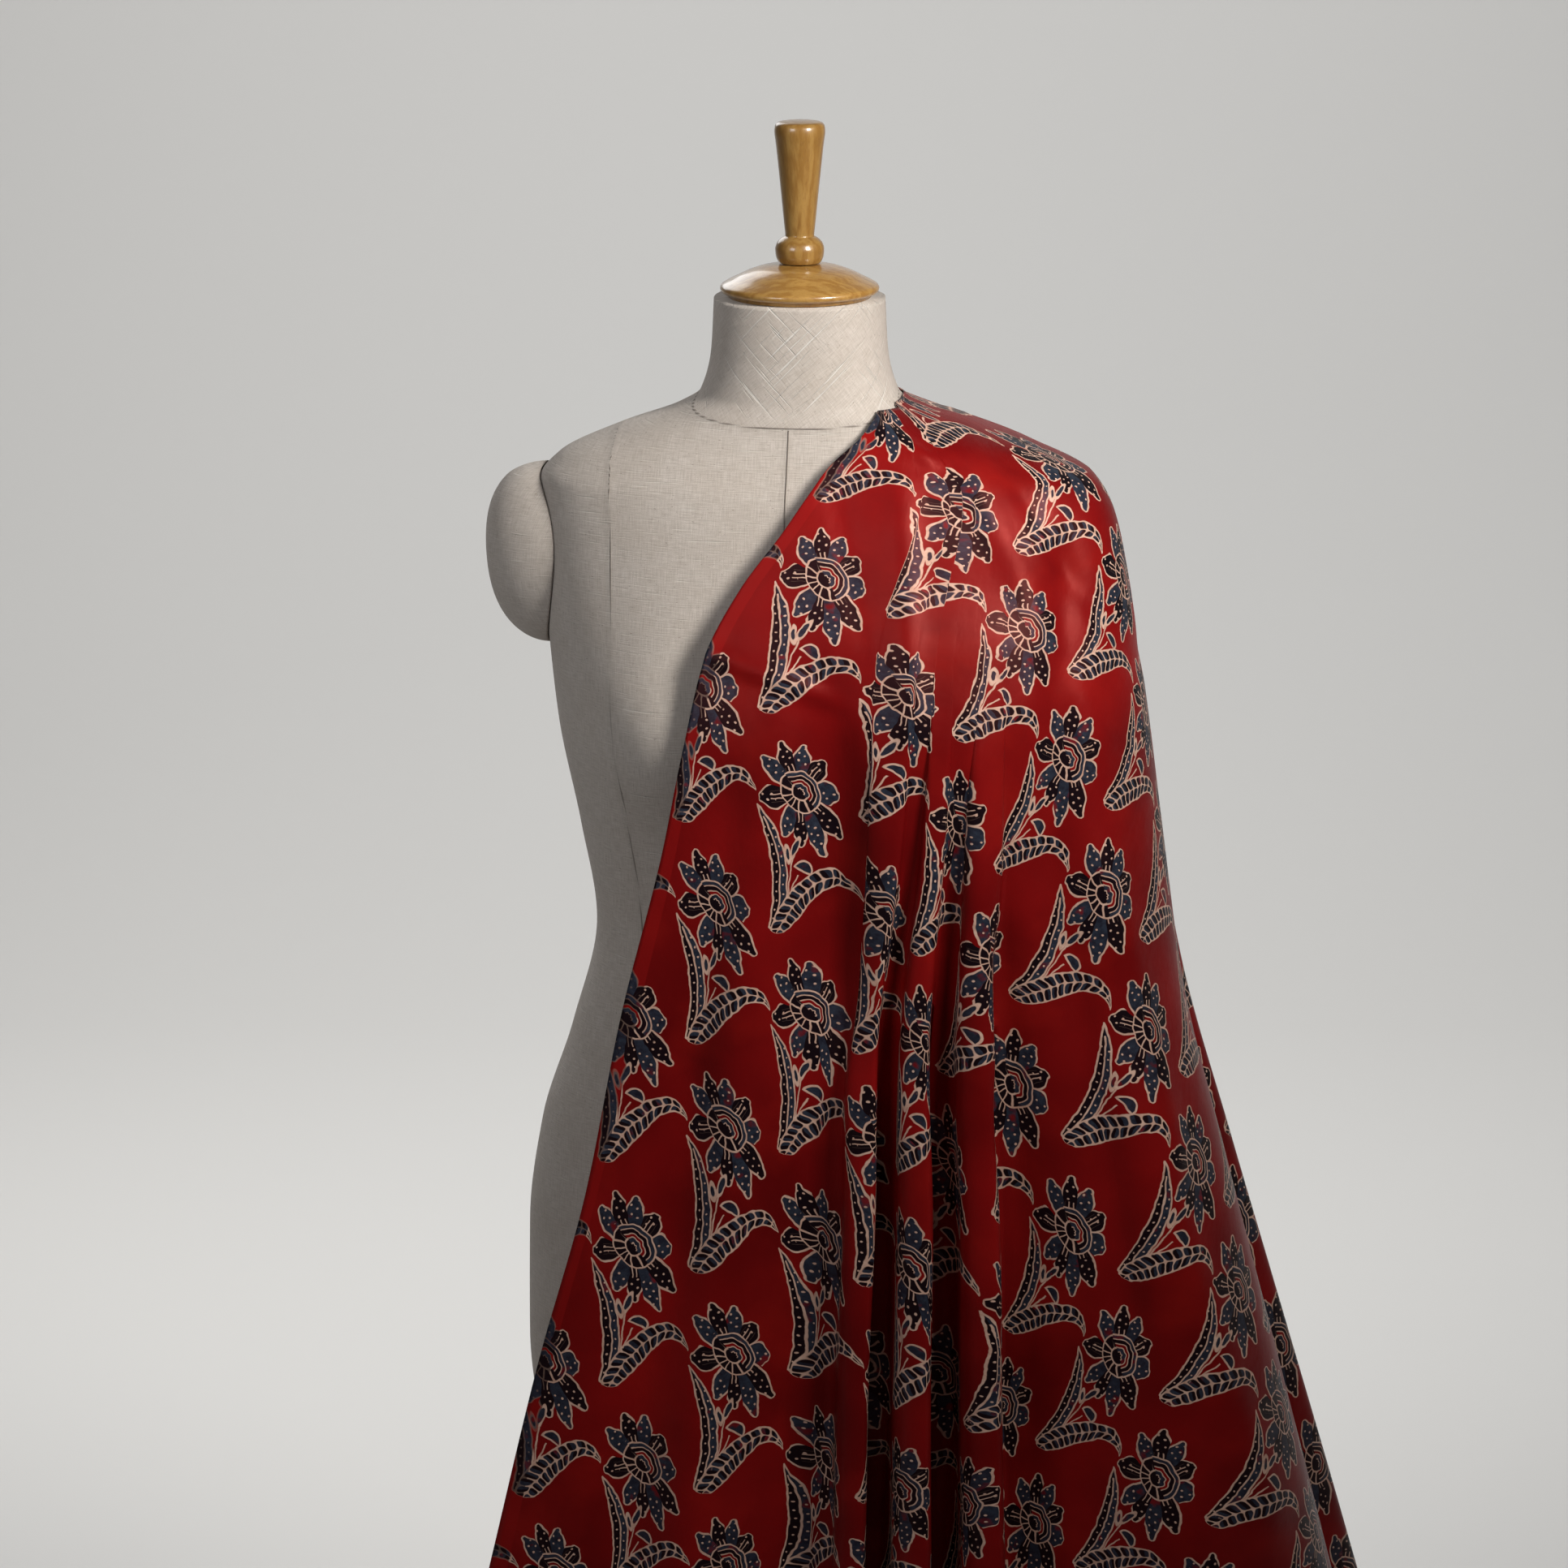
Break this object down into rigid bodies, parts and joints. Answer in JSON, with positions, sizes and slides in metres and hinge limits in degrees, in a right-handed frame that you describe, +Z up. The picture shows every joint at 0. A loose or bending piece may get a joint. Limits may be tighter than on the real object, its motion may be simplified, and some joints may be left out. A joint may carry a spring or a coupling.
{
  "type": "ajrakh cloth draped on a dress form",
  "caption": "Block-printed red ajrakh cloth draped over one shoulder of a linen dress form with a wooden neck cap, on a round stand.",
  "frame": {"origin": "centre of the base's underside, on the floor", "axes": "+Z up along the pole, -Y towards the viewer of the picture, +X to the viewer's right, where the cloth hangs"},
  "size_m": [0.6649, 0.41, 1.59],
  "materials": {
    "printed_cloth": "satin, block printed in black, indigo and cream on madder red",
    "linen": "matte slubbed weave",
    "varnished_wood": "gloss varnish",
    "dark_metal": "satin black"
  },
  "bodies": {
    "root": {"cloth": "printed_cloth", "torso": "linen", "arm_cap_left": "linen", "arm_cap_right": "linen", "neck_cap": "varnished_wood", "finial": "varnished_wood", "bottom_plate": "varnished_wood", "collar": "dark_metal", "pole": "varnished_wood", "base": "varnished_wood"}
  },
  "joints": []
}
